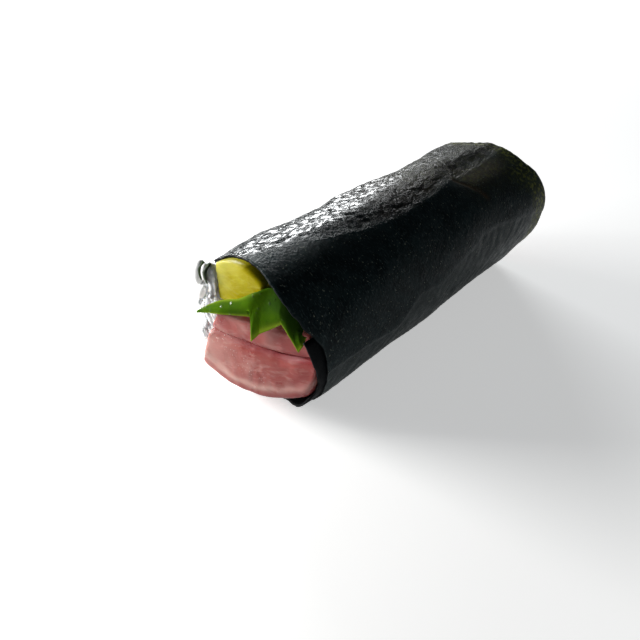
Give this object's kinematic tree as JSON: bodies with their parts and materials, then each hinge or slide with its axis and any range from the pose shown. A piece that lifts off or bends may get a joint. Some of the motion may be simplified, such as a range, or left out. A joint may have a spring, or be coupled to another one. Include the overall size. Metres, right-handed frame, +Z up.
{
  "type": "temaki hand roll",
  "caption": "Hand roll: a spiral sheet of nori round rice, a pickled radish stick, slabs of raw fish and a shiso leaf that stand out at the filled end.",
  "frame": {"origin": "middle of the part's footprint box, on the surface that the roll lies on", "axes": "+Y along the roll's axis to its plain far end, so the fillings stand out at -Y; +Z up; +X to the right of someone who looks at the filled end"},
  "size_m": [0.0408, 0.1094, 0.0398],
  "materials": {
    "nori": "black-green roasted seaweed, wet and wrinkled along the top, satin below",
    "rice": "white cooked rice, moist and slightly translucent",
    "radish": "lemon yellow pickled radish, wet, translucent",
    "fish": "pale pink raw fish with a whitish line of fat, wet",
    "leaf": "green leaf with sunken veins, satin, a few wet glints"
  },
  "bodies": {
    "root": {"nori": "nori", "rice": "rice", "pickled_radish": "radish", "fish_upper": "fish", "fish_lower": "fish", "shiso_leaf": "leaf"}
  },
  "joints": []
}
